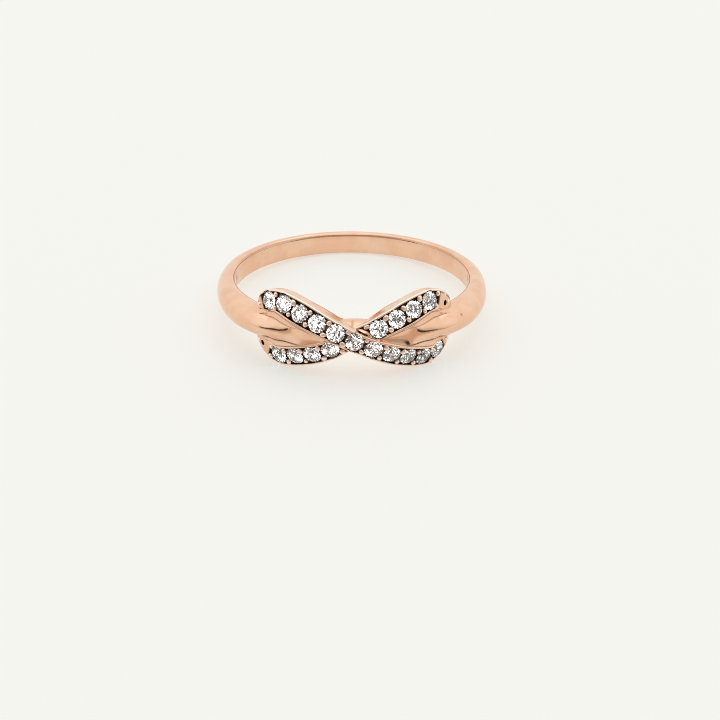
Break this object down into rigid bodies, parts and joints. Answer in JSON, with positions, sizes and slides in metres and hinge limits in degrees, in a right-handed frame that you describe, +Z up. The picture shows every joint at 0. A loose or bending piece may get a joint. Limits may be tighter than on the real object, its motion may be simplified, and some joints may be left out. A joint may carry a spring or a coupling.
{
  "type": "infinity ring",
  "caption": "Slim half-round finger ring whose front is a sideways figure eight of two crossing stone-set strands, lying on its side.",
  "frame": {"origin": "bottom centre of the bounding box, on the surface that the ring rests on", "axes": "+Z up from the surface; +Y from the stone-set head towards the back of the band; +X to the right as seen from the head; the finger axis leans from +Z towards +Y"},
  "size_m": [0.0198, 0.0206, 0.0057],
  "materials": {
    "rose_gold": "polished 14k rose gold",
    "stone": "cut and polished clear stone"
  },
  "bodies": {
    "root": {"ring_body": "rose_gold", "over_stone_1": "stone", "over_stone_2": "stone", "over_stone_3": "stone", "over_stone_4": "stone", "over_stone_5": "stone", "over_stone_6": "stone", "over_stone_7": "stone", "over_stone_8": "stone", "over_stone_9": "stone", "over_stone_10": "stone", "over_stone_11": "stone", "under_stone_1": "stone", "under_stone_2": "stone", "under_stone_3": "stone", "under_stone_4": "stone", "under_stone_5": "stone", "under_stone_6": "stone", "under_stone_7": "stone", "under_stone_8": "stone"}
  },
  "joints": []
}
